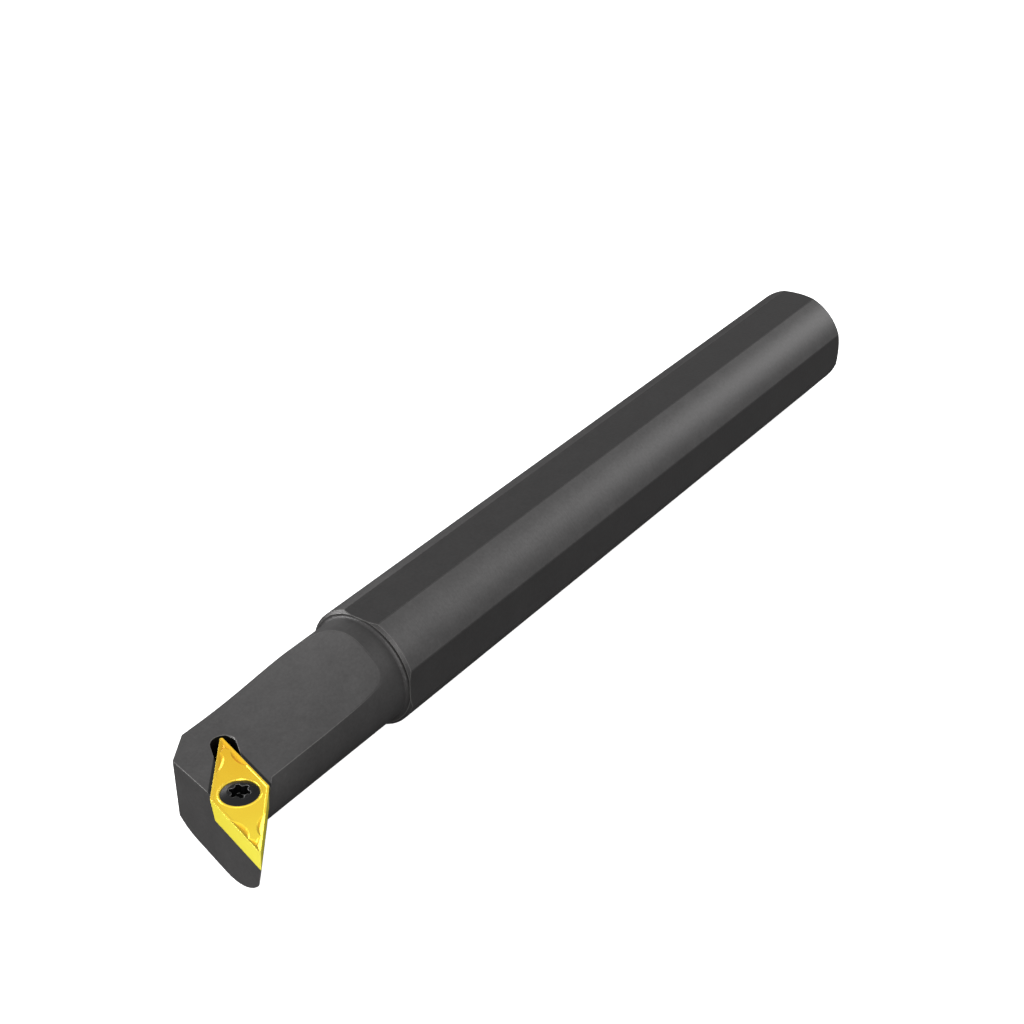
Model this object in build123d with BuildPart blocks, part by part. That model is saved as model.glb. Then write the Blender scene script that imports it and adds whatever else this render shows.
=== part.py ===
"""Boring bar: a blackened steel bar with a rhombic carbide insert held by one countersunk screw.

The origin is the centre of the rear end face, on the axis of the shank. +X runs to the
tip, +Y is the cutting side and +Z is up. All sizes are in millimetres.
"""

import os
from math import cos, radians, sin, sqrt, tan

from build123d import *

# Shank: round steel with clamping flats, chamfered at both ends
shank_diameter = 16.0
shank_length = 109.55
flat_distance = 7.56  # from the axis to each flat
flat_count = 4
rear_chamfer = 0.5
front_chamfer = 0.35

# Neck: the thinner round part in front of the shank
neck_diameter = 14.24
neck_root_radius = 0.4

# Head: flat top, slanted front face, bevelled back corner
top_height = 2.3  # of the flat above the axis
head_reach = 27.55  # from the shank's front face to the centre of the insert
front_face_ahead = 1.42  # of the insert's centre, measured on the axis
front_face_angle = 76.8  # of the front face to the axis, seen from above
corner_bevel_ahead = 7.4  # of the insert's centre, where the bevel would cross the axis
corner_bevel_angle = 31.6

# Run-out of the flat: it stays level on the cutting side and curves up on the back
runout_start = 21.09  # from the shank's front face
runout_radius = 40.64  # of the curve along the back of the neck
runout_level = 22.87  # length that stays level along the cutting side
runout_level_offset = 6.87  # of that side from the axis

# Beak: the part of the head that carries the insert out past the neck, as round as the neck
beak_offset = 5.84  # of its round underside from the axis, towards the cutting side
beak_drop = 0.88  # of its centre below the axis
beak_relief_angle = 9.0  # of its rear flank
beak_setback = 0.05  # of its rear flank behind the insert's lower edge

# Insert: 35 degree rhombus, named by its inscribed circle
inscribed_circle = 6.35
insert_thickness = 3.18
insert_point_angle = 35.0
insert_clearance_angle = 5.0
insert_nose_radius = 0.2
insert_foot_nose_radius = 0.04
insert_centre_offset = 5.62  # from the axis, towards the cutting side
insert_bearing = 55.0  # of the long diagonal to the axis, seen from above
insert_hole_diameter = 2.8
countersink_diameter = 4.64
countersink_half_angle = 30.0

# Top form of the insert: sunk face inside a rim, and chip breakers at each point
rim_width = 0.24
face_sink = 0.06
hole_ring_width = 0.16
edge_land = 0.07  # flat width left along the cutting edge
chip_rake_angle = 27.0  # of the facet that falls away behind the land
chip_depth = 0.3
long_scallop_length = 3.8
long_scallop_half_width = 0.82
long_scallop_from_point = 4.65
short_scallop_length = 2.6
short_scallop_half_width = 0.6
short_scallop_from_point = 1.85
scallop_line_inset = 0.12  # of the deepest line of a scallop from the edge

# Pocket: a slot past the insert's back point lets the point stand clear
point_slot_width = 3.0
point_slot_from_centre = 9.05
point_slot_below_seat = 0.6

# Clamp screw: domed countersunk head with a six-lobe socket
screw_diameter = 2.4
screw_length = 4.6  # below the head's cone
screw_head_diameter = 4.5
screw_dome_height = 0.3
socket_rim_diameter = 2.85
socket_outer_diameter = 2.5
socket_inner_diameter = 1.84
socket_depth = 1.3
socket_notch_radius = 0.42
socket_lobe_fillet = 0.15
thread_clearance = 0.05
thread_depth_spare = 1.0

shank_radius = shank_diameter / 2
neck_radius = neck_diameter / 2
front_x = shank_length  # the shank's front face
seat_height = top_height - insert_thickness
insert_centre_x = front_x + head_reach
bar_end_x = insert_centre_x + inscribed_circle * 2

half_point_angle = radians(insert_point_angle / 2)
clearance_inset = insert_thickness * tan(radians(insert_clearance_angle))

# Heights of the clamp screw: its cone seats on the insert's countersink
sink_slope = tan(radians(countersink_half_angle))
head_edge_height = top_height - (countersink_diameter - screw_head_diameter) / 2 / sink_slope
cone_foot_drop = (screw_head_diameter - screw_diameter) / 2 / sink_slope
screw_end_height = head_edge_height - cone_foot_drop - screw_length


def insert_plane(height):
    """A level plane centred on the insert, its x direction along the long diagonal."""
    bearing = radians(insert_bearing)
    return Plane(
        origin=(insert_centre_x, insert_centre_offset, height),
        x_dir=(cos(bearing), sin(bearing), 0),
        z_dir=(0, 0, 1),
    )


def rhombus_corners(inradius):
    """Corners of the rhombus round a circle of this radius, on the insert's own plane."""
    long_half = inradius / sin(half_point_angle)
    short_half = inradius / cos(half_point_angle)
    return [(long_half, 0), (0, short_half), (-long_half, 0), (0, -short_half)]


def upright_plane(ahead, angle):
    """An upright plane that crosses the axis this far ahead of the insert's centre."""
    turn = radians(angle)
    return Plane(
        origin=(insert_centre_x + ahead, 0, 0),
        x_dir=(cos(turn), sin(turn), 0),
        z_dir=(sin(turn), -cos(turn), 0),
    )


front_face_plane = upright_plane(front_face_ahead, front_face_angle)
corner_bevel_plane = upright_plane(corner_bevel_ahead, corner_bevel_angle)

# Beak: the round underside joined to the neck's circle by tangents, drawn out along the bar
beak_start_x = insert_centre_x - inscribed_circle * 1.6
with BuildPart() as beak:
    with BuildSketch(Plane.YZ.offset(beak_start_x)):
        with BuildLine():
            CenterArc((0, 0), neck_radius, 0, 360)
            CenterArc((beak_offset, -beak_drop), neck_radius, 0, 360)
        make_hull()
    extrude(amount=bar_end_x - beak_start_x)
    # The rear flank leans under the insert, so that it clears the bore being cut
    flank_turn = radians(insert_bearing - insert_point_angle / 2)
    flank_lean = radians(beak_relief_angle)
    flank_inset = inscribed_circle / 2 - clearance_inset - beak_setback
    outward = Vector(-sin(flank_turn), cos(flank_turn), 0)
    flank_plane = Plane(
        origin=Vector(insert_centre_x, insert_centre_offset, seat_height) + outward * flank_inset,
        x_dir=(cos(flank_turn), sin(flank_turn), 0),
        z_dir=outward * cos(flank_lean) - Vector(0, 0, sin(flank_lean)),
    )
    split(bisect_by=flank_plane, keep=Keep.BOTTOM)

# Tool for the flat and its run-out: the space above them, ruled between its two sides
with BuildPart() as flat_cut:
    ceiling = top_height + runout_radius + neck_radius
    start_x = front_x + runout_start
    level_end_x = start_x - runout_level
    root_end_x = front_x + neck_root_radius
    with BuildSketch(Plane(origin=(0, -neck_radius, 0), x_dir=(1, 0, 0), z_dir=(0, -1, 0))):
        with BuildLine():
            curve_top = (start_x - runout_radius, top_height + runout_radius)
            RadiusArc((start_x, top_height), curve_top, runout_radius)
            Polyline(curve_top, (curve_top[0], ceiling), (start_x, ceiling), (start_x, top_height))
        make_face()
    with BuildSketch(Plane(origin=(0, runout_level_offset, 0), x_dir=(1, 0, 0), z_dir=(0, -1, 0))):
        with BuildLine():
            Polyline(
                (start_x, top_height),
                (level_end_x, top_height),
                (level_end_x, ceiling),
                (start_x, ceiling),
                (start_x, top_height),
            )
        make_face()
    loft(ruled=True)
    # The curve ends ahead of the neck's root
    split(bisect_by=Plane.YZ.offset(root_end_x), keep=Keep.TOP)
    # Ahead of the run-out and over the beak the flat is level
    with BuildSketch(Plane.XY.offset(top_height)):
        Polygon(
            (start_x, -neck_radius),
            (bar_end_x, -neck_radius),
            (bar_end_x, neck_radius * 3),
            (root_end_x, neck_radius * 3),
            (root_end_x, runout_level_offset),
            (start_x, runout_level_offset),
            align=None,
        )
    extrude(amount=neck_radius)

# Bar body: turned, then milled
with BuildPart() as bar_body:
    with BuildSketch(Plane.XZ):
        with BuildLine():
            Polyline(
                (0, 0),
                (0, shank_radius - rear_chamfer),
                (rear_chamfer, shank_radius),
                (front_x - front_chamfer, shank_radius),
                (front_x, shank_radius - front_chamfer),
                (front_x, neck_radius + neck_root_radius),
            )
            RadiusArc(
                (front_x, neck_radius + neck_root_radius),
                (front_x + neck_root_radius, neck_radius),
                -neck_root_radius,
            )
            Polyline(
                (front_x + neck_root_radius, neck_radius),
                (bar_end_x, neck_radius),
                (bar_end_x, 0),
                (0, 0),
            )
        make_face()
    revolve(axis=Axis.X)
    with BuildSketch(Plane.YZ):
        with PolarLocations(flat_distance + shank_radius / 2, flat_count):
            Rectangle(shank_radius, shank_diameter)
    extrude(amount=front_x, mode=Mode.SUBTRACT)

    add(beak.part)
    split(bisect_by=front_face_plane, keep=Keep.BOTTOM)
    split(bisect_by=corner_bevel_plane, keep=Keep.BOTTOM)
    add(flat_cut.part, mode=Mode.SUBTRACT)

    # Insert pocket: its two walls lean as the insert's flanks do
    wall_length = inscribed_circle * 6
    back_corner = -inscribed_circle / 2 / sin(half_point_angle)
    with BuildSketch(insert_plane(top_height)):
        with BuildLine():
            reach = Vector(wall_length * cos(half_point_angle), wall_length * sin(half_point_angle))
            Polyline(
                (back_corner, 0),
                (back_corner + reach.X, -reach.Y),
                (back_corner + 2 * reach.X, 0),
                (back_corner + reach.X, reach.Y),
                (back_corner, 0),
            )
        make_face()
    extrude(amount=-insert_thickness, taper=insert_clearance_angle, mode=Mode.SUBTRACT)
    with BuildSketch(insert_plane(top_height)):
        slot_run_in = -point_slot_width / 2 / tan(half_point_angle)
        with Locations(((slot_run_in - point_slot_from_centre) / 2, 0)):
            SlotCenterToCenter(point_slot_from_centre + slot_run_in, point_slot_width)
    extrude(amount=-insert_thickness - point_slot_below_seat, mode=Mode.SUBTRACT)

    # Threaded hole for the clamp screw
    with BuildSketch(insert_plane(seat_height)):
        Circle(screw_diameter / 2 + thread_clearance)
    extrude(amount=screw_end_height - thread_depth_spare - seat_height, mode=Mode.SUBTRACT)
bar_body.part.label = "bar_body"


def scallop(length, half_width):
    """A spindle-shaped tool, along x, that sinks a scallop of this length, width and depth."""
    sweep_radius = (length**2 / 4 + chip_depth**2) / (2 * chip_depth)
    body_radius = (half_width**2 + chip_depth**2) / (2 * chip_depth)
    half_chord = sqrt(sweep_radius**2 - (sweep_radius - body_radius) ** 2)
    with BuildPart() as tool:
        with BuildSketch(Plane.XZ):
            with BuildLine():
                ThreePointArc((-half_chord, 0), (0, body_radius), (half_chord, 0))
                Line((half_chord, 0), (-half_chord, 0))
            make_face()
        revolve(axis=Axis.X)
    return tool.part.moved(Location((0, 0, body_radius - chip_depth)))


# Chip breakers: scallops along both edges of both points, ended by a facet behind the land
spindles = []
insert_place = insert_plane(top_height).location
point_reach = inscribed_circle / 2 / sin(half_point_angle)
for length, half_width, from_point in (
    (long_scallop_length, long_scallop_half_width, long_scallop_from_point),
    (short_scallop_length, short_scallop_half_width, short_scallop_from_point),
):
    spindle = scallop(length, half_width)
    for point_turn in (0, 180):
        for side in (1, -1):
            edge_turn = 180 - side * insert_point_angle / 2
            edge = radians(edge_turn)
            along = Vector(cos(edge), sin(edge))
            inward = Vector(-sin(edge), cos(edge)) * side
            centre = Vector(point_reach, 0) + along * from_point + inward * scallop_line_inset
            place = Location((0, 0, 0), (0, 0, point_turn)) * Location(centre, (0, 0, edge_turn))
            spindles.append(spindle.moved(insert_place * place))
with BuildPart() as chip_breakers:
    with BuildSketch(insert_plane(top_height)):
        Polygon(*rhombus_corners(inscribed_circle / 2 - edge_land), align=None)
    extrude(amount=-chip_depth * 1.2, taper=90 - chip_rake_angle)
    add(Part() + spindles, mode=Mode.INTERSECT)

# Cutting insert: pressed carbide, the nose flank a narrowing cone
with BuildPart() as cutting_insert:
    for height, inradius, nose in (
        (seat_height, inscribed_circle / 2 - clearance_inset, insert_foot_nose_radius),
        (top_height, inscribed_circle / 2, insert_nose_radius),
    ):
        with BuildSketch(insert_plane(height)) as rhombus:
            Polygon(*rhombus_corners(inradius), align=None)
            fillet(rhombus.vertices().group_by(Axis.X)[0] + rhombus.vertices().group_by(Axis.X)[-1], nose)
    loft(ruled=True)

    # Sunk face between the rim and the ring round the hole
    with BuildSketch(insert_plane(top_height)):
        Polygon(*rhombus_corners(inscribed_circle / 2 - rim_width), align=None)
        Circle(countersink_diameter / 2 + hole_ring_width, mode=Mode.SUBTRACT)
    extrude(amount=-face_sink, taper=45, mode=Mode.SUBTRACT)
    add(chip_breakers.part, mode=Mode.SUBTRACT)

    # Countersunk hole
    with BuildSketch(insert_plane(top_height)):
        Circle(insert_hole_diameter / 2)
    extrude(amount=-insert_thickness, mode=Mode.SUBTRACT)
    countersink_depth = (countersink_diameter - insert_hole_diameter) / 2 / sink_slope
    for height, diameter in (
        (top_height, countersink_diameter),
        (top_height - countersink_depth, insert_hole_diameter),
    ):
        with BuildSketch(insert_plane(height)):
            Circle(diameter / 2)
    loft(ruled=True, mode=Mode.SUBTRACT)
cutting_insert.part.label = "cutting_insert"

# Clamp screw: one turned piece, the socket pressed in
with BuildPart() as clamp_screw:
    with BuildSketch(Plane.XZ) as half_section:
        with BuildLine():
            Polyline(
                (0, screw_dome_height),
                (socket_rim_diameter / 2, screw_dome_height),
                (screw_head_diameter / 2, 0),
                (screw_diameter / 2, -cone_foot_drop),
                (screw_diameter / 2, -cone_foot_drop - screw_length),
                (0, -cone_foot_drop - screw_length),
                (0, screw_dome_height),
            )
        make_face()
    revolve(axis=Axis.Z)
    with BuildSketch(Plane.XY.offset(screw_dome_height)) as socket:
        Circle(socket_outer_diameter / 2)
        with PolarLocations(socket_inner_diameter / 2 + socket_notch_radius, 6, start_angle=30):
            Circle(socket_notch_radius, mode=Mode.SUBTRACT)
        fillet(socket.vertices(), socket_lobe_fillet)
    extrude(amount=-socket_depth, mode=Mode.SUBTRACT)
clamp_screw.part = clamp_screw.part.moved(insert_plane(head_edge_height).location)
clamp_screw.part.label = "clamp_screw"

os.makedirs("parts", exist_ok=True)
export_step(bar_body.part, "parts/bar_body.step")
export_step(cutting_insert.part, "parts/cutting_insert.step")
export_step(clamp_screw.part, "parts/clamp_screw.step")
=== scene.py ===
"""Boring bar: a blackened steel bar with a gold coated insert held by one black screw."""

import math

import bpy
from mathutils import Matrix, Vector


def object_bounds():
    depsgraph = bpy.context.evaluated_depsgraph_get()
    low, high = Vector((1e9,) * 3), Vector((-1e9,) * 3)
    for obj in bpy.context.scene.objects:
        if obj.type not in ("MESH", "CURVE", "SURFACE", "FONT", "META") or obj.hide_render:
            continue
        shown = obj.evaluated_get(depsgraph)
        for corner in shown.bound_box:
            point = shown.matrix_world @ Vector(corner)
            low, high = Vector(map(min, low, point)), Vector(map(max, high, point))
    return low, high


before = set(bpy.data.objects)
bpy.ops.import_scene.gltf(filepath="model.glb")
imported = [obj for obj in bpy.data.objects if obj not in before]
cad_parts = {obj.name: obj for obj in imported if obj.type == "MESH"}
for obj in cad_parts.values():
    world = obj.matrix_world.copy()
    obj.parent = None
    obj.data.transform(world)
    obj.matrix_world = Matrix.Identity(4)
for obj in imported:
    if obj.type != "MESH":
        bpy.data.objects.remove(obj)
cad_low, cad_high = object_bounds()
scene = bpy.context.scene
mm = 0.001

# Bar body: one piece of alloy steel, its shank turned and ground, its head milled, then
# blackened in a hot alkaline bath. Black oxide is a skin only microns thick, so it keeps the
# machining marks of the steel: dark grey and satin. The deburred edges are painted lighter,
# partly for wear and partly as a painted highlight.


def linear(hex_colour):
    """An sRGB hex colour as the linear RGBA that Blender takes."""
    channels = [int(hex_colour[i : i + 2], 16) / 255 for i in (1, 3, 5)]
    return (*[c / 12.92 if c <= 0.04045 else ((c + 0.055) / 1.055) ** 2.4 for c in channels], 1.0)


def new_material(name):
    """A node material with only its Principled shader and output."""
    material = bpy.data.materials.new(name)
    material.use_nodes = True
    return material, material.node_tree.nodes["Principled BSDF"]


def node(material, kind, settings=(), **inputs):
    """Adds one node. settings are its own properties; inputs are values, or sockets to link.

    An input's keyword is its name with _ for a space, or i and its number.
    """
    made = material.node_tree.nodes.new(kind)
    for key, value in dict(settings).items():
        setattr(made, key, value)
    for key, value in inputs.items():
        by_number = key[0] == "i" and key[1:].isdigit()
        socket = made.inputs[int(key[1:])] if by_number else made.inputs[key.replace("_", " ")]
        if isinstance(value, bpy.types.NodeSocket):
            material.node_tree.links.new(value, socket)
        else:
            socket.default_value = value
    return made


shank_front = 109.55 * mm
collar_chamfer = 0.35 * mm
flat_distance = 7.56 * mm
neck_radius = 7.12 * mm
beak_start = 131 * mm
insert_centre = Vector((137.1, 5.62, 2.3)) * mm
insert_bearing = math.radians(55)
insert_half_point = math.radians(17.5)
insert_inradius = 3.175 * mm
slot_centre = Vector((131.91, -1.79, 0.4)) * mm
cloud_size = 3 * mm
grain_size = 0.45 * mm
turning_line_spacing = 0.3 * mm
deburred_radius = 0.14 * mm
# Painted highlight, partly also wear: share of the light edge tone mixed into the deburred edges
edge_wear_and_highlight = 0.32  # share of the bare edge tone that shows through
slot_shade_reach = 2.55 * mm  # of the dark slot round its centre
seam_reach = 10.1 * mm  # from the insert's centre, just short of its points
seam_width = 0.3 * mm
relief_height = 0.02 * mm

oxide, shader = new_material("black_oxide_on_steel")
place = node(oxide, "ShaderNodeTexCoord").outputs["Object"]
axes = node(oxide, "ShaderNodeSeparateXYZ", Vector=place).outputs

# Machined zones: the milled head, the turned neck, the collar and the ground clamping flats
head_zone = node(
    oxide,
    "ShaderNodeMapRange",
    Value=axes["X"],
    From_Min=shank_front + 0.05 * mm,
    From_Max=shank_front + 0.3 * mm,
).outputs["Result"]
collar_zone = node(
    oxide,
    "ShaderNodeMapRange",
    Value=axes["X"],
    From_Min=shank_front - collar_chamfer - 0.05 * mm,
    From_Max=shank_front - collar_chamfer,
).outputs["Result"]
from_axis = node(
    oxide,
    "ShaderNodeVectorMath",
    {"operation": "LENGTH"},
    i0=node(
        oxide, "ShaderNodeVectorMath", {"operation": "MULTIPLY"}, i0=place, i1=(0.0, 1.0, 1.0)
    ).outputs["Vector"],
).outputs["Value"]
round_skin = node(
    oxide,
    "ShaderNodeMapRange",
    Value=from_axis,
    From_Min=neck_radius - 0.06 * mm,
    From_Max=neck_radius - 0.035 * mm,
).outputs["Result"]
behind_beak = node(
    oxide, "ShaderNodeMapRange", Value=axes["X"], From_Min=beak_start, From_Max=beak_start - 5 * mm
).outputs["Result"]
neck_zone = node(
    oxide, "ShaderNodeMath", {"operation": "MULTIPLY"}, i0=round_skin, i1=behind_beak
).outputs[0]
across = node(oxide, "ShaderNodeMath", {"operation": "ABSOLUTE"}, i0=axes["Y"]).outputs[0]
upright = node(oxide, "ShaderNodeMath", {"operation": "ABSOLUTE"}, i0=axes["Z"]).outputs[0]
farthest = node(oxide, "ShaderNodeMath", {"operation": "MAXIMUM"}, i0=across, i1=upright).outputs[0]
flat_zone = node(
    oxide,
    "ShaderNodeMapRange",
    Value=farthest,
    From_Min=flat_distance - 0.05 * mm,
    From_Max=flat_distance - 0.02 * mm,
).outputs["Result"]

# The bath leaves clouds some millimetres wide, and a fine even grain between them. The real
# grain is about 0.02 mm; it is drawn at 0.45 mm, to show
clouds = node(
    oxide, "ShaderNodeTexNoise", Vector=place, Scale=1 / cloud_size, Detail=5.0, Roughness=0.65
).outputs["Fac"]
grain = node(
    oxide, "ShaderNodeTexNoise", Vector=place, Scale=1 / grain_size, Detail=3.0, Roughness=0.65
).outputs["Fac"]

# Turning and grinding lines run round the bar. Real ones are 0.1 mm apart, drawn at 0.3 mm
turning_lines = node(
    oxide,
    "ShaderNodeTexNoise",
    {"noise_dimensions": "1D"},
    W=axes["X"],
    Scale=1 / turning_line_spacing,
    Detail=2.0,
).outputs["Fac"]

# Deburred edges: where a rounded normal leaves the true one. There the colour is painted lighter,
# partly wear and partly a painted highlight
rounded = node(oxide, "ShaderNodeBevel", {"samples": 8}, Radius=deburred_radius).outputs["Normal"]
true_normal = node(oxide, "ShaderNodeNewGeometry").outputs["Normal"]
agreement = node(
    oxide, "ShaderNodeVectorMath", {"operation": "DOT_PRODUCT"}, i0=rounded, i1=true_normal
).outputs["Value"]
highlit_edge = node(
    oxide, "ShaderNodeMapRange", Value=agreement, From_Min=0.998, From_Max=0.965
).outputs["Result"]

shank_tone = node(
    oxide,
    "ShaderNodeMix",
    {"data_type": "RGBA"},
    i0=flat_zone,
    i6=linear("#474646"),
    i7=linear("#313030"),
).outputs[2]
collar_tone = node(
    oxide,
    "ShaderNodeMix",
    {"data_type": "RGBA"},
    i0=collar_zone,
    i6=shank_tone,
    i7=linear("#333232"),
).outputs[2]
head_tone = node(
    oxide,
    "ShaderNodeMix",
    {"data_type": "RGBA"},
    i0=neck_zone,
    i6=linear("#434242"),
    i7=linear("#3a3939"),
).outputs[2]
zone_tone = node(
    oxide, "ShaderNodeMix", {"data_type": "RGBA"}, i0=head_zone, i6=collar_tone, i7=head_tone
).outputs[2]
cloud_level = node(
    oxide, "ShaderNodeMapRange", Value=clouds, From_Min=0.3, From_Max=0.7, To_Min=0.86, To_Max=1.04
).outputs["Result"]
grain_level = node(
    oxide, "ShaderNodeMath", {"operation": "MULTIPLY_ADD"}, i0=grain, i1=0.5, i2=-0.2
).outputs[0]
level = node(
    oxide, "ShaderNodeMath", {"operation": "ADD"}, i0=cloud_level, i1=grain_level
).outputs[0]
cloud_tone = node(
    oxide, "ShaderNodeVectorMath", {"operation": "SCALE"}, Vector=zone_tone, Scale=level
).outputs["Vector"]
# Painted highlight, partly also wear: the deburred edges are mixed towards light grey
edge_highlight_tone = node(
    oxide,
    "ShaderNodeMix",
    {"data_type": "RGBA"},
    i0=node(oxide, "ShaderNodeMath", {"operation": "MULTIPLY"}, i0=highlit_edge, i1=edge_wear_and_highlight).outputs[0],
    i6=cloud_tone,
    i7=linear("#8e8d8b"),
).outputs[2]

# Painted shadow: the seam along the insert is painted near black, for the shade in the gap beside
# it. Of the distances from the insert's centre, measured across each pair of its edges, the larger
# tells how far outside them a point is
from_insert = node(
    oxide, "ShaderNodeVectorMath", {"operation": "SUBTRACT"}, i0=place, i1=insert_centre
).outputs["Vector"]
edge_distances = []
for turn in (insert_half_point, -insert_half_point):
    edge_normal = (-math.sin(insert_bearing + turn), math.cos(insert_bearing + turn), 0.0)
    reach = node(
        oxide, "ShaderNodeVectorMath", {"operation": "DOT_PRODUCT"}, i0=from_insert, i1=edge_normal
    ).outputs["Value"]
    edge_distances.append(
        node(oxide, "ShaderNodeMath", {"operation": "ABSOLUTE"}, i0=reach).outputs[0]
    )
outside = node(
    oxide, "ShaderNodeMath", {"operation": "MAXIMUM"}, i0=edge_distances[0], i1=edge_distances[1]
).outputs[0]
by_insert = node(
    oxide,
    "ShaderNodeMapRange",
    Value=outside,
    From_Min=insert_inradius + seam_width + 0.12 * mm,
    From_Max=insert_inradius + seam_width,
).outputs["Result"]
on_top = node(
    oxide,
    "ShaderNodeMapRange",
    Value=axes["Z"],
    From_Min=insert_centre.z - 0.08 * mm,
    From_Max=insert_centre.z - 0.03 * mm,
).outputs["Result"]
along_insert = node(
    oxide,
    "ShaderNodeMapRange",
    Value=node(
        oxide, "ShaderNodeVectorMath", {"operation": "LENGTH"}, i0=from_insert
    ).outputs["Value"],
    From_Min=seam_reach + 0.2 * mm,
    From_Max=seam_reach,
).outputs["Result"]
beside_insert = node(
    oxide, "ShaderNodeMath", {"operation": "MULTIPLY"}, i0=by_insert, i1=along_insert
).outputs[0]
seam_shadow = node(
    oxide, "ShaderNodeMath", {"operation": "MULTIPLY"}, i0=beside_insert, i1=on_top
).outputs[0]

# Painted shade: the slot past the insert's back point is painted nearly black, for the shade down
# in it
slot_distance = node(
    oxide, "ShaderNodeVectorMath", {"operation": "DISTANCE"}, i0=place, i1=slot_centre
).outputs["Value"]
near_slot = node(
    oxide,
    "ShaderNodeMapRange",
    Value=slot_distance,
    From_Min=slot_shade_reach + 0.1 * mm,
    From_Max=slot_shade_reach,
).outputs["Result"]
slot_shade = node(
    oxide,
    "ShaderNodeMath",
    {"operation": "MULTIPLY"},
    i0=near_slot,
    i1=node(oxide, "ShaderNodeMath", {"operation": "SUBTRACT"}, i0=1.0, i1=on_top).outputs[0],
).outputs[0]
painted_shade_mask = node(oxide, "ShaderNodeMath", {"operation": "MAXIMUM"}, i0=seam_shadow, i1=slot_shade).outputs[0]
# Painted shade: the seam and the slot are mixed to near black
painted_shade_tone = node(
    oxide, "ShaderNodeMix", {"data_type": "RGBA"}, i0=painted_shade_mask, i6=edge_highlight_tone, i7=linear("#0b0b0b")
).outputs[2]

height = node(
    oxide, "ShaderNodeMath", {"operation": "MULTIPLY_ADD"}, i0=turning_lines, i1=0.5, i2=grain
).outputs[0]
surface = node(
    oxide, "ShaderNodeBump", Strength=0.6, Distance=relief_height, Height=height, Normal=rounded
).outputs["Normal"]
zone_roughness = node(
    oxide, "ShaderNodeMapRange", Value=head_zone, To_Min=0.4, To_Max=0.5
).outputs["Result"]
roughness = node(
    oxide, "ShaderNodeMath", {"operation": "MULTIPLY_ADD"}, i0=clouds, i1=0.1, i2=zone_roughness
).outputs[0]
oxide.node_tree.links.new(painted_shade_tone, shader.inputs["Base Color"])
oxide.node_tree.links.new(roughness, shader.inputs["Roughness"])
oxide.node_tree.links.new(surface, shader.inputs["Normal"])
shader.inputs["Metallic"].default_value = 0.6

bar_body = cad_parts["bar_body"]
bar_body.data.materials.clear()
bar_body.data.materials.append(oxide)

# Cutting insert: a rhombus of tungsten carbide, pressed and sintered with its chip breakers,
# then coated with a nitride a few microns thick. Satin gold yellow, paler towards the cutting
# point. Down in the chip breakers it is painted more orange, a painted reflection of the gold in
# its own hollows, and along the honed edges pale yellow, partly a thinner coating and partly a
# painted highlight.

gold, shader = new_material("gold_nitride_on_carbide")
place = node(gold, "ShaderNodeTexCoord").outputs["Object"]
axes = node(gold, "ShaderNodeSeparateXYZ", Vector=place).outputs
top_height = insert_centre.z
honed_radius = 0.025 * mm
sunk_depth = 0.07 * mm  # a little more than the face is sunk, so that only the hollows are deeper
sinter_grain_size = 0.1 * mm
coating_cloud_size = 2.5 * mm
tone_reach = 9 * mm  # from the centre to where the tone towards a point is full

rounded = node(gold, "ShaderNodeBevel", {"samples": 8}, Radius=honed_radius).outputs["Normal"]
geometry = node(gold, "ShaderNodeNewGeometry").outputs
agreement = node(
    gold, "ShaderNodeVectorMath", {"operation": "DOT_PRODUCT"}, i0=rounded, i1=geometry["Normal"]
).outputs["Value"]
highlit_edge = node(
    gold, "ShaderNodeMapRange", Value=agreement, From_Min=0.998, From_Max=0.95
).outputs["Result"]

# Depth below the top face, counted only where the surface faces up
depth = node(
    gold,
    "ShaderNodeMapRange",
    Value=axes["Z"],
    From_Min=top_height - sunk_depth,
    From_Max=top_height - 0.3 * mm,
).outputs["Result"]
facing = node(gold, "ShaderNodeSeparateXYZ", Vector=geometry["Normal"]).outputs["Z"]
facing_up = node(
    gold, "ShaderNodeMapRange", Value=facing, From_Min=0.3, From_Max=0.6
).outputs["Result"]
hollow_reflection_mask = node(gold, "ShaderNodeMath", {"operation": "MULTIPLY"}, i0=depth, i1=facing_up).outputs[0]

# Sintered grain: the real one is microns wide, drawn at 0.1 mm
sinter_grain = node(
    gold, "ShaderNodeTexNoise", Vector=place, Scale=1 / sinter_grain_size, Detail=3.0
).outputs["Fac"]
coating_clouds = node(
    gold, "ShaderNodeTexNoise", Vector=place, Scale=1 / coating_cloud_size, Detail=2.0
).outputs["Fac"]

towards_point = node(
    gold,
    "ShaderNodeVectorMath",
    {"operation": "DOT_PRODUCT"},
    i0=node(
        gold, "ShaderNodeVectorMath", {"operation": "SUBTRACT"}, i0=place, i1=insert_centre
    ).outputs["Vector"],
    i1=(math.cos(insert_bearing), math.sin(insert_bearing), 0.0),
).outputs["Value"]
paler = node(
    gold,
    "ShaderNodeMapRange",
    Value=towards_point,
    From_Min=-tone_reach,
    From_Max=tone_reach,
    To_Min=-0.15,
    To_Max=0.85,
).outputs["Result"]
pressed_tone = node(
    gold,
    "ShaderNodeMix",
    {"data_type": "RGBA"},
    i0=node(
        gold, "ShaderNodeMath", {"operation": "MULTIPLY_ADD"}, i0=coating_clouds, i1=0.3, i2=paler
    ).outputs[0],
    i6=linear("#f1bd24"),
    i7=linear("#fbdf40"),
).outputs[2]
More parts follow.
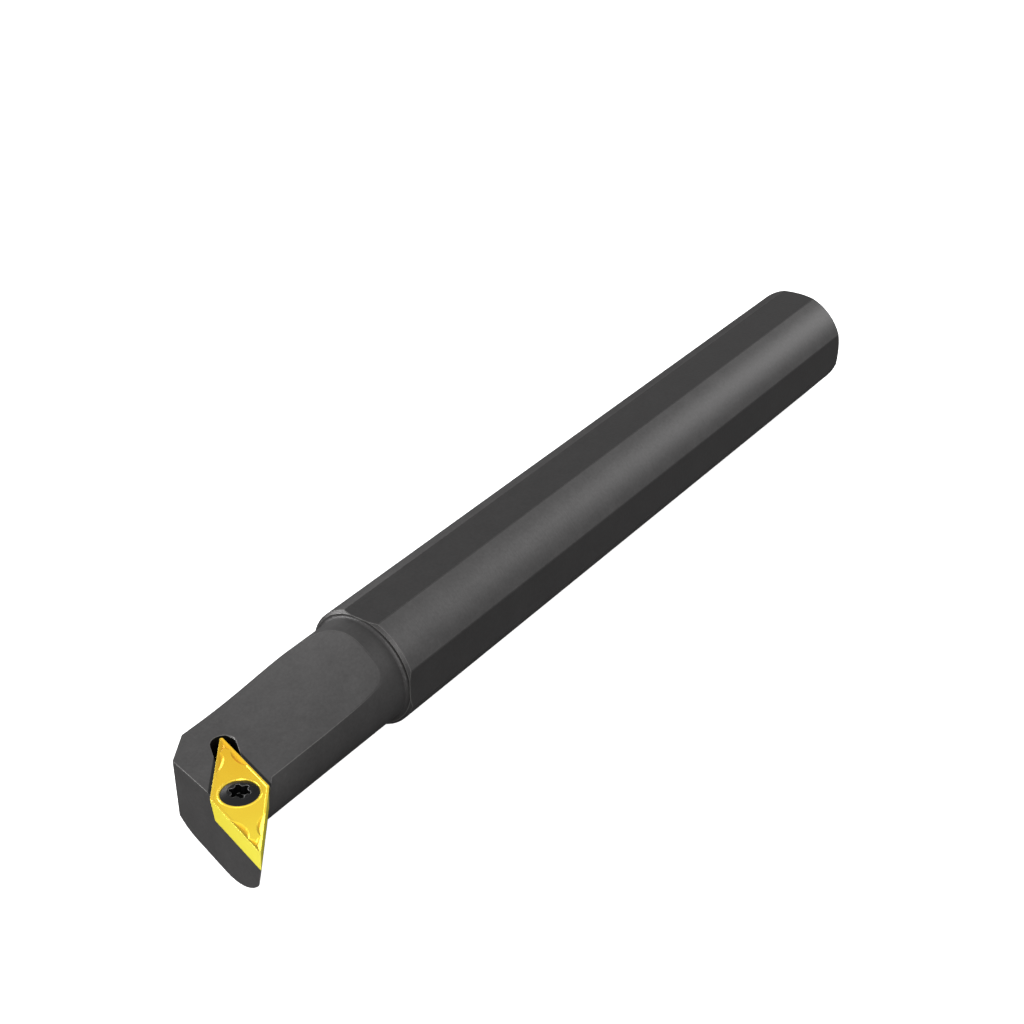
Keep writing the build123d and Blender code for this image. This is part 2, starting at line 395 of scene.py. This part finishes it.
# Painted reflection: the chip breakers are mixed to a deeper orange, for the gold's light bounced
# between the hollow's faces
breaker_reflection_tone = node(
    gold, "ShaderNodeMix", {"data_type": "RGBA"}, i0=hollow_reflection_mask, i6=pressed_tone, i7=linear("#e4a210")
).outputs[2]
flank_tone = node(
    gold,
    "ShaderNodeMix",
    {"data_type": "RGBA"},
    i0=paler,
    i6=linear("#e6d23a"),
    i7=linear("#f4ea54"),
).outputs[2]
coating_tone = node(
    gold, "ShaderNodeMix", {"data_type": "RGBA"}, i0=facing_up, i6=flank_tone, i7=breaker_reflection_tone
).outputs[2]
# Painted highlight, partly also the thinner coating on the hone: the honed edges are mixed to pale
# yellow
edge_highlight_tone = node(
    gold, "ShaderNodeMix", {"data_type": "RGBA"}, i0=highlit_edge, i6=coating_tone, i7=linear("#fff27a")
).outputs[2]
surface = node(
    gold,
    "ShaderNodeBump",
    Strength=0.2,
    Distance=0.006 * mm,
    Height=sinter_grain,
    Normal=rounded,
).outputs["Normal"]
gold.node_tree.links.new(edge_highlight_tone, shader.inputs["Base Color"])
gold.node_tree.links.new(surface, shader.inputs["Normal"])
finish = node(
    gold, "ShaderNodeMapRange", Value=facing_up, To_Min=0.15, To_Max=0.8
).outputs["Result"]
gold.node_tree.links.new(finish, shader.inputs["Metallic"])
shader.inputs["Roughness"].default_value = 0.25

cutting_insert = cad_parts["cutting_insert"]
cutting_insert.data.materials.clear()
cutting_insert.data.materials.append(gold)

# Clamp screw: cold headed alloy steel with a pressed six-lobe socket, hardened, then blackened
# and oiled. Darker and glossier than the bar. Its edges are painted lighter, a painted highlight.

screw_edge_radius = 0.15 * mm
head_grain_size = 0.15 * mm  # drawn coarser than the real grain, which is about 0.02 mm

oiled_black, shader = new_material("oiled_black_oxide_on_screw")
place = node(oiled_black, "ShaderNodeTexCoord").outputs["Object"]
rounded = node(
    oiled_black, "ShaderNodeBevel", {"samples": 8}, Radius=screw_edge_radius
).outputs["Normal"]
true_normal = node(oiled_black, "ShaderNodeNewGeometry").outputs["Normal"]
agreement = node(
    oiled_black, "ShaderNodeVectorMath", {"operation": "DOT_PRODUCT"}, i0=rounded, i1=true_normal
).outputs["Value"]
highlit_edge = node(
    oiled_black, "ShaderNodeMapRange", Value=agreement, From_Min=0.99, From_Max=0.9, To_Max=0.5
).outputs["Result"]
head_grain = node(
    oiled_black, "ShaderNodeTexNoise", Vector=place, Scale=1 / head_grain_size, Detail=2.0
).outputs["Fac"]
# Painted highlight: the rounded edges, the socket's rim among them, are mixed to light grey
edge_highlight_tone = node(
    oiled_black,
    "ShaderNodeMix",
    {"data_type": "RGBA"},
    i0=highlit_edge,
    i6=linear("#1c1c1d"),
    i7=linear("#808080"),
).outputs[2]
surface = node(
    oiled_black,
    "ShaderNodeBump",
    Strength=0.2,
    Distance=0.006 * mm,
    Height=head_grain,
    Normal=rounded,
).outputs["Normal"]
oiled_black.node_tree.links.new(edge_highlight_tone, shader.inputs["Base Color"])
oiled_black.node_tree.links.new(surface, shader.inputs["Normal"])
shader.inputs["Metallic"].default_value = 0.8
shader.inputs["Roughness"].default_value = 0.35

clamp_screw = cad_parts["clamp_screw"]
clamp_screw.data.materials.clear()
clamp_screw.data.materials.append(oiled_black)

# Stage: a plain white table. The photograph is cut out on white and its page throws no light
# on the bar, so the table is left out of what lights the bar and of what it mirrors.

table_size = 20.0
table_gap = 0.05 * mm  # below the bar, so that the two faces don't coincide

table_white, shader = new_material("white_table")
shader.inputs["Base Color"].default_value = linear("#f4f4f4")
shader.inputs["Roughness"].default_value = 0.9
shader.inputs["Emission Color"].default_value = (1, 1, 1, 1)
shader.inputs["Emission Strength"].default_value = 0.7
bpy.ops.mesh.primitive_plane_add(
    size=table_size, location=(70 * mm, 0, cad_low.z - table_gap)
)
table = bpy.context.object
table.name = "table"
table.data.materials.append(table_white)
table.visible_diffuse = False
table.visible_glossy = False

# Light: a soft sky, brightest overhead and brighter towards the tip and the cutting side than
# behind, black below, and four soft boxes. The camera sees the sky as plain white.

sky_by_axis = (0.47, 0.61, 1.15)

world = bpy.data.worlds.new("studio")
world.use_nodes = True
direction = node(world, "ShaderNodeTexCoord").outputs["Generated"]
lit_half = node(
    world, "ShaderNodeVectorMath", {"operation": "MAXIMUM"}, i0=direction, i1=(0.0, 0.0, 0.0)
).outputs["Vector"]
sky = node(
    world, "ShaderNodeVectorMath", {"operation": "DOT_PRODUCT"}, i0=lit_half, i1=sky_by_axis
).outputs["Value"]
seen = node(world, "ShaderNodeLightPath").outputs["Is Camera Ray"]
strength = node(
    world, "ShaderNodeMix", {"data_type": "FLOAT"}, i0=seen, i2=sky, i3=1.0
).outputs[0]
background = world.node_tree.nodes["Background"]
background.inputs["Color"].default_value = (1, 1, 1, 1)
world.node_tree.links.new(strength, background.inputs["Strength"])
scene.world = world


def soft_box(name, place, target, width, height, watts):
    """A rectangular area light that faces a point."""
    data = bpy.data.lights.new(name, "AREA")
    data.shape = "RECTANGLE"
    data.size = width
    data.size_y = height
    data.energy = watts
    lamp = bpy.data.objects.new(name, data)
    scene.collection.objects.link(lamp)
    lamp.location = place
    lamp.rotation_mode = "QUATERNION"
    lamp.rotation_quaternion = (place - target).to_track_quat("Z", "Y")


middle = Vector((75, 0, 0)) * mm
soft_box("behind the cutting side", Vector((-0.56, 0.25, 0.27)), middle, 0.3, 0.3, 1.15)
soft_box("beside the camera", middle + Vector((0.48, 0.27, 0.24)), middle, 0.3, 0.25, 1.9)
soft_box(
    "strip beside the shank", Vector((-0.02, -0.58, 0.17)), Vector((0.135, 0, 0)), 0.4, 0.15, 0.9
)
soft_box("beside the head", middle + Vector((0.35, -0.6, 0.15)), middle, 0.4, 0.2, 4.9)

# Camera: at the photograph's angle.

camera_place = Vector((249.39, 125.86, 139.96)) * mm
camera_target = Vector((69.789, -6.193, 0.0)) * mm
camera_up = Vector((-0.43465, -0.30645, 0.84686))
back = (camera_place - camera_target).normalized()
side = camera_up.cross(back).normalized()
up = back.cross(side)
camera_data = bpy.data.cameras.new("camera")
camera_data.sensor_width = 36
camera_data.lens = 66.98
camera_data.clip_start = 0.01
camera_data.clip_end = 50
camera = bpy.data.objects.new("camera", camera_data)
scene.collection.objects.link(camera)
turned = Matrix((side, up, back)).transposed().to_4x4()
camera.matrix_world = Matrix.Translation(camera_place) @ turned
scene.camera = camera
scene.view_settings.view_transform = "Standard"
